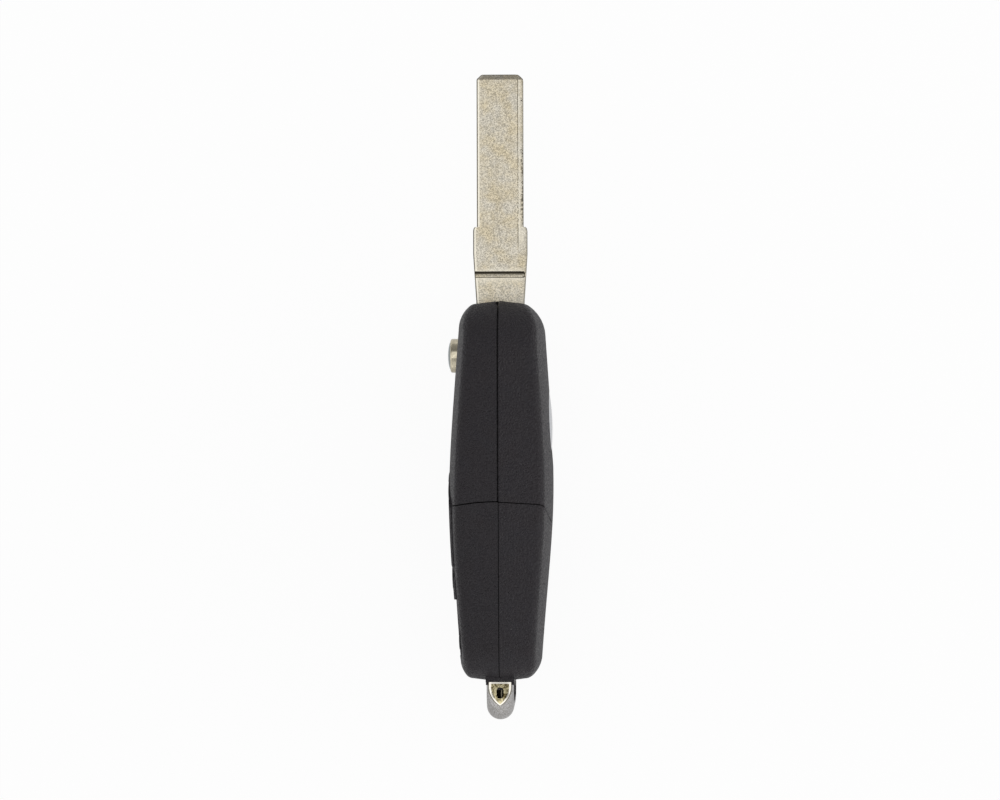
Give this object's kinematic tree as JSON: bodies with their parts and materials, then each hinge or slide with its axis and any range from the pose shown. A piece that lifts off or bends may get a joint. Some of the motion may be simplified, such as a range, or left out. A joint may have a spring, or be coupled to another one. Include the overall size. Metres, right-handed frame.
{
  "type": "flip remote key",
  "caption": "Flip remote key with a folding metal blade in a crowned moulded casing, a round release button, push buttons on a raised panel and a half-round key-ring loop.",
  "frame": {"origin": "middle of the whole key's footprint, on the surface that its folding edge stands on, with the blade open", "axes": "+Y along the key towards the open blade's tip, +X through its thickness towards the back, +Z across its width, away from the edge that the blade folds into"},
  "size_m": [0.0192, 0.1174, 0.036],
  "materials": {
    "moulded_black": "fine spark-eroded texture",
    "rubber_black": "soft matt",
    "hub_black": "smooth acetal",
    "nickel_silver": "stamped, fine grained",
    "nickel_plate": "bright nickel plate",
    "badge_metal": "polished dome, bare",
    "spring_steel": "drawn",
    "silicone_grey": "soft",
    "board_green": "solder mask",
    "component_black": "moulded epoxy",
    "ferrite": "sintered",
    "cell_steel": "drawn can"
  },
  "bodies": {
    "housing": {"head_front_shell": "moulded_black", "head_back_shell": "moulded_black", "head_screw": "spring_steel", "back_badge": "badge_metal", "transponder_chip": "component_black", "pivot_post": "spring_steel", "flip_spring": "spring_steel", "remote_front_shell": "moulded_black", "remote_back_shell": "moulded_black", "keypad_panel": "moulded_black", "keypad_membrane": "silicone_grey", "circuit_board": "board_green", "lock_switch": "component_black", "unlock_switch": "component_black", "boot_switch": "component_black", "remote_chip": "component_black", "resonator": "component_black", "antenna_coil": "ferrite", "coin_cell": "cell_steel", "negative_contact": "spring_steel", "positive_contact": "spring_steel", "keyring_loop": "nickel_plate", "loop_pins": "spring_steel"},
    "blade": {"key_blade": "nickel_silver", "blade_hub": "hub_black", "blade_roll_pin": "spring_steel"},
    "release": {"release_button": "nickel_plate"},
    "lock": {"lock_button": "rubber_black"},
    "unlock": {"unlock_button": "rubber_black"},
    "boot": {"boot_button": "rubber_black"}
  },
  "joints": [
    {"name": "blade_flip", "type": "hinge", "parent": "housing", "child": "blade", "pos_m": [0, 0.00737, 0.0103], "axis": [-1, 0, 0], "range_deg": [0, 180], "stiffness_Nm_per_rad": 0.008, "springref_deg": -171.89},
    {"name": "release_press", "type": "slide", "parent": "housing", "child": "release", "axis": [1, 0, 0], "range_m": [0, 0.0016], "stiffness_N_per_m": 800, "springref_m": -0.002, "deforming": ["flip_spring"]},
    {"name": "lock_press", "type": "slide", "parent": "housing", "child": "lock", "axis": [1, 0, 0], "range_m": [0, 0.0004], "stiffness_N_per_m": 1500, "springref_m": -0.0008},
    {"name": "unlock_press", "type": "slide", "parent": "housing", "child": "unlock", "axis": [1, 0, 0], "range_m": [0, 0.0004], "stiffness_N_per_m": 1500, "springref_m": -0.0008},
    {"name": "boot_press", "type": "slide", "parent": "housing", "child": "boot", "axis": [1, 0, 0], "range_m": [0, 0.0004], "stiffness_N_per_m": 1500, "springref_m": -0.0008}
  ]
}
